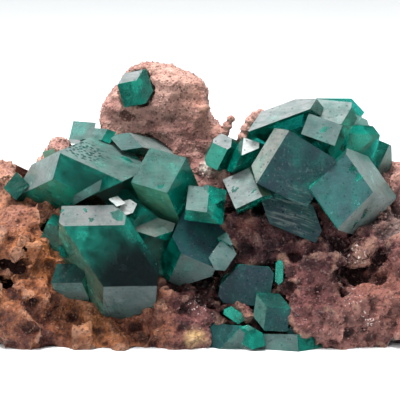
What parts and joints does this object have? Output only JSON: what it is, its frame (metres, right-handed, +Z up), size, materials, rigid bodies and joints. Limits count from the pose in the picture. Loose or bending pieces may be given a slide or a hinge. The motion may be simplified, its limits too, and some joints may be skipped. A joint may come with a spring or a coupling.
{
  "type": "dioptase specimen",
  "caption": "Clusters of deep green six-sided dioptase crystals on a knobbly piece of pink to brown druse-covered rock, cut flat below to stand on a shelf.",
  "frame": {"origin": "middle of the specimen's box, at the flat base", "axes": "+X to the right along the specimen's length, +Y to its back, +Z up from the base; the crystals face -Y"},
  "size_m": [0.0705, 0.0364, 0.0388],
  "materials": {
    "druse": "rough pink to brown druse",
    "left_group": "clear deep green crystal",
    "right_group": "clear deep green crystal",
    "foot_group": "clear deep green crystal",
    "back_group": "clear deep green crystal",
    "summit_crystal": "clear green crystal",
    "cleft_crystal": "clear bright green crystal",
    "sliver_crystal": "clear bright green crystal",
    "back_crystal": "clear deep green crystal",
    "left_side_crystal": "clear deep green crystal",
    "right_side_crystal": "clear deep green crystal"
  },
  "bodies": {
    "root": {"matrix": "druse", "left_group": "left_group", "right_group": "right_group", "foot_group": "foot_group", "back_group": "back_group", "summit_crystal": "summit_crystal", "cleft_crystal": "cleft_crystal", "sliver_crystal": "sliver_crystal", "back_crystal": "back_crystal", "left_side_crystal": "left_side_crystal", "right_side_crystal": "right_side_crystal"}
  },
  "joints": []
}
